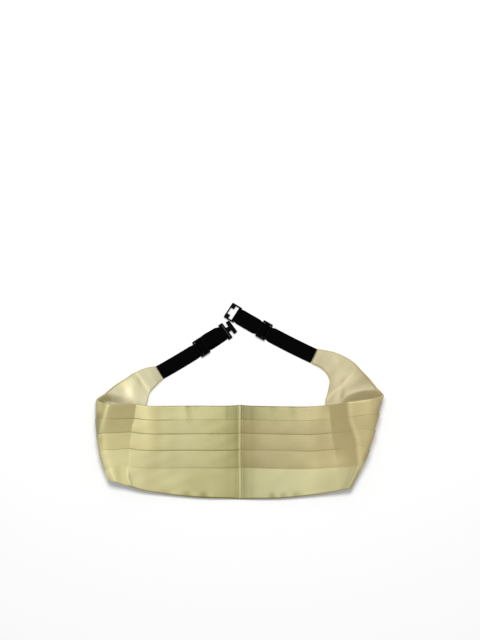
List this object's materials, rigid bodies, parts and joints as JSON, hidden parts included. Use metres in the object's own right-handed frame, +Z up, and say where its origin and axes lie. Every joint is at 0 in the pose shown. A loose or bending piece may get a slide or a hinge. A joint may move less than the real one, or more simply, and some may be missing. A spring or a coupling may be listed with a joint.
{
  "type": "cummerbund",
  "caption": "Pleated satin waist sash with folded tapering wings, elastic straps, slides and a hook-and-loop clasp, laid flat on its back.",
  "frame": {"origin": "middle of the object's box, on the surface that it lies on", "axes": "+X along the front panel to the side of the slotted loop's wing, +Y from the panel's bottom edge to its top edge and on to the straps, +Z up, out of the satin face of the front panel"},
  "size_m": [0.3604, 0.2516, 0.0243],
  "materials": {
    "satin": "pale yellow satin, soft sheen",
    "lining": "cream satin lining",
    "elastic": "black ribbed elastic webbing",
    "clasp": "black moulded plastic"
  },
  "bodies": {
    "root": {"panel_left": "satin", "panel_right": "satin", "lining_left": "lining", "lining_right": "lining", "strap_left": "elastic", "strap_right": "elastic", "slide_left": "clasp", "slide_right": "clasp", "t_hook": "clasp", "hook_loop": "clasp"}
  },
  "joints": []
}
